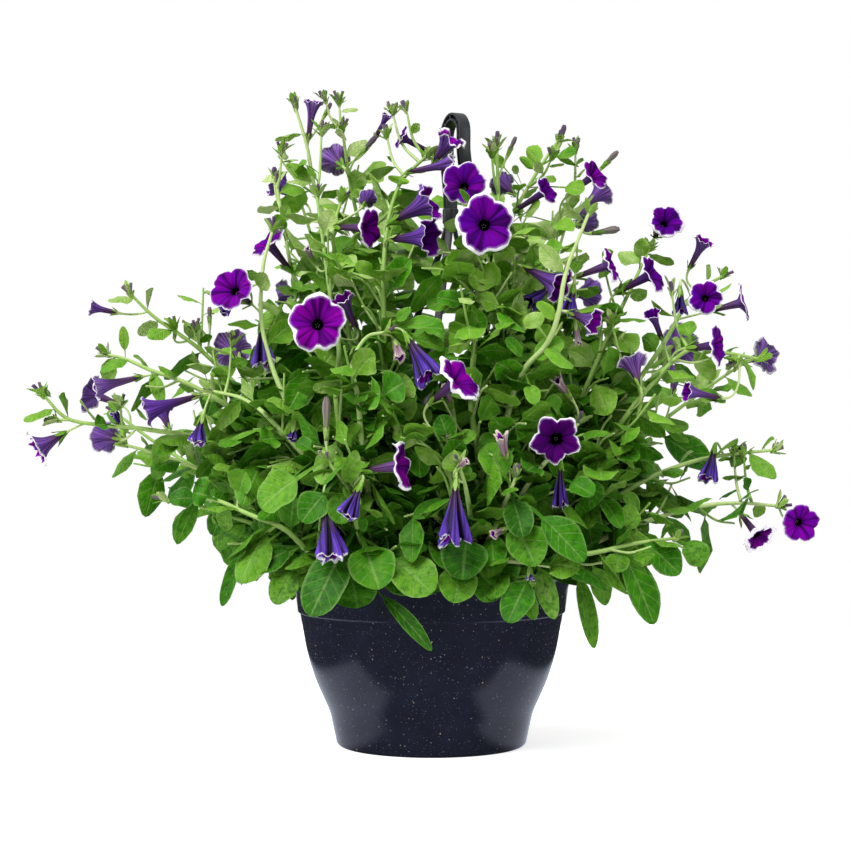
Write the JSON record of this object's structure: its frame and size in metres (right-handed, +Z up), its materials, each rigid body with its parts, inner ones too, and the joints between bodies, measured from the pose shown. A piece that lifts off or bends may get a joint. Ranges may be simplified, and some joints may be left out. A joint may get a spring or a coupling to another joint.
{
  "type": "petunia hanging basket",
  "caption": "Glossy plastic hanging pot with a clip-on three-arm hanger, filled with soil and bushy petunias with white-edged trumpet blooms.",
  "frame": {"origin": "middle of the pot's base, on the surface it stands on", "axes": "+Z up along the pot's axis, -Y towards the side seen in the picture, +X to the right of that view"},
  "size_m": [0.7747, 0.5157, 0.6517],
  "materials": {
    "pot_plastic": "glossy dark navy with fine pale speckles",
    "soil": "moist peat potting soil, matt",
    "hanger_plastic": "charcoal moulded plastic, soft sheen",
    "foliage": "fresh green leaf with fine hairs, satin",
    "petal": "velvety violet-magenta petal with a white edge"
  },
  "bodies": {
    "root": {"pot": "pot_plastic", "soil": "soil", "hanger_hook": "hanger_plastic", "hanger_arm_1": "hanger_plastic", "hanger_arm_2": "hanger_plastic", "hanger_arm_3": "hanger_plastic", "plant_front_left": "foliage", "plant_left": "foliage", "plant_back_left": "foliage", "plant_back_right": "foliage", "plant_right": "foliage", "plant_front_right": "foliage", "bloom_front_left_1": "petal", "bloom_front_left_3": "petal", "bloom_front_left_7": "petal", "bloom_front_left_8": "petal", "bloom_front_left_14": "petal", "bloom_front_left_16": "petal", "bloom_front_left_17": "petal", "bloom_front_left_18": "petal", "bloom_front_left_19": "petal", "bloom_front_left_20": "petal", "bloom_left_1": "petal", "bloom_left_4": "petal", "bloom_left_8": "petal", "bloom_left_10": "petal", "bloom_back_left_1": "petal", "bloom_back_left_3": "petal", "bloom_back_left_6": "petal", "bloom_back_left_7": "petal", "bloom_back_left_8": "petal", "bloom_back_left_10": "petal", "bloom_back_left_11": "petal", "bloom_back_left_13": "petal", "bloom_back_right_1": "petal", "bloom_back_right_2": "petal", "bloom_back_right_4": "petal", "bloom_back_right_7": "petal", "bloom_back_right_8": "petal", "bloom_back_right_9": "petal", "bloom_back_right_11": "petal", "bloom_back_right_12": "petal", "bloom_back_right_13": "petal", "bloom_back_right_14": "petal", "bloom_right_1": "petal", "bloom_right_2": "petal", "bloom_right_3": "petal", "bloom_right_4": "petal", "bloom_right_5": "petal", "bloom_right_7": "petal", "bloom_right_8": "petal", "bloom_right_12": "petal", "bloom_right_13": "petal", "bloom_front_right_1": "petal", "bloom_front_right_6": "petal", "bloom_front_right_7": "petal", "bloom_front_right_10": "petal", "bloom_front_right_16": "petal", "bloom_front_right_20": "petal"}
  },
  "joints": []
}
